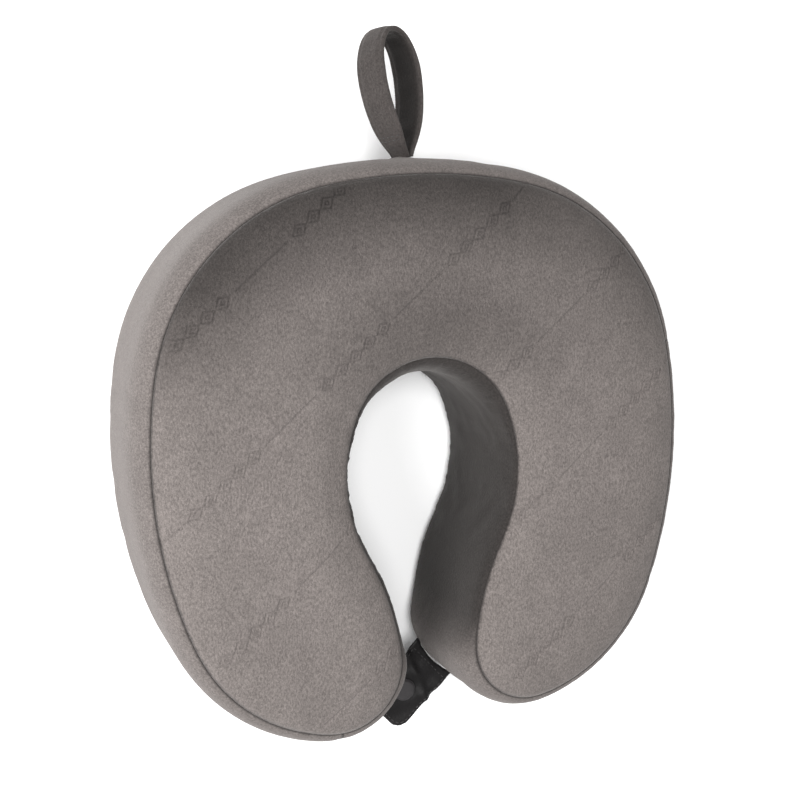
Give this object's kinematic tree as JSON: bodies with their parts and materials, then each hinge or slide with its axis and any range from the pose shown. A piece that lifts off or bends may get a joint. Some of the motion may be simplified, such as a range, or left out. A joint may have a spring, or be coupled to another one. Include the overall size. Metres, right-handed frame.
{
  "type": "neck pillow",
  "caption": "U-shaped memory-foam travel neck pillow in a zipped velour cover with boxed sides, a hang loop at the crown and snap tabs across the opening.",
  "frame": {"origin": "on the resting plane, in the middle of the neck hole where it is widest", "axes": "+Z out of the front panel, which faces up as the pillow lies on its back panel; +Y towards the crown and the hang loop, with the open ends of the arms at -Y; +X towards the zip"},
  "size_m": [0.3094, 0.3913, 0.0995],
  "materials": {
    "foam": "open-cell memory foam, matt",
    "liner": "thin plain-knit sock",
    "velour": "short-pile velour with a faint embossed diagonal pattern",
    "velour_gusset": "plain short-pile velour",
    "tab_velour": "dark woven strap with edge stitching",
    "thread": "polyester sewing thread",
    "zip_tape": "woven zip tape",
    "zip_coil": "nylon coil",
    "zip_metal": "gunmetal, satin",
    "snap_plastic": "dark satin plastic"
  },
  "bodies": {
    "pillow": {"foam_core": "foam", "liner_back": "liner", "liner_front": "liner", "cover_back_panel": "velour", "cover_front_panel": "velour", "outer_gusset": "velour_gusset", "inner_gusset": "velour_gusset", "zip_strip_back": "velour_gusset", "zip_strip_front": "velour_gusset", "back_seam_thread": "thread", "front_seam_thread": "thread", "zip_tape_back": "zip_tape", "zip_tape_front": "zip_tape", "zip_coil_back": "zip_coil", "zip_coil_front": "zip_coil", "zip_top_stop": "zip_metal", "zip_bottom_stop": "zip_metal"},
    "zip_slider": {"zip_slider": "zip_metal"},
    "zip_pull": {"zip_pull_tab": "zip_metal"},
    "hang_loop": {"hang_loop": "velour_gusset", "hang_loop_bartack": "thread"},
    "right_tab": {"right_tab": "tab_velour", "right_tab_stitching": "thread", "snap_cap": "snap_plastic", "snap_socket": "snap_plastic"},
    "left_tab": {"left_tab": "tab_velour", "left_tab_stitching": "thread", "snap_stud": "snap_plastic", "snap_back_post": "snap_plastic"}
  },
  "joints": [
    {"name": "zip_slide", "type": "hinge", "parent": "pillow", "child": "zip_slider", "pos_m": [-0.10067, 0.0132, 0.0485], "axis": [0, 0, 1], "range_deg": [-26.5, 0]},
    {"name": "pull_swing", "type": "hinge", "parent": "zip_slider", "child": "zip_pull", "pos_m": [0.15276, 0.0501, 0.0485], "axis": [0, 0, 1], "range_deg": [0, 170]},
    {"name": "hang_loop_bend", "type": "hinge", "parent": "pillow", "child": "hang_loop", "pos_m": [0.00464, 0.16444, 0.0485], "axis": [0.4185, 0.0588, 0.9063], "range_deg": [-45, 45], "stiffness_Nm_per_rad": 0.03},
    {"name": "right_tab_bend", "type": "hinge", "parent": "pillow", "child": "right_tab", "pos_m": [0.02174, -0.12542, 0.0275], "axis": [-0.649, 0.7608, 0], "range_deg": [0, 75], "stiffness_Nm_per_rad": 0.03},
    {"name": "left_tab_bend", "type": "hinge", "parent": "pillow", "child": "left_tab", "pos_m": [-0.01982, -0.12299, 0.0233], "axis": [-0.5935, -0.8048, 0], "range_deg": [-30, 0], "stiffness_Nm_per_rad": 0.03}
  ]
}
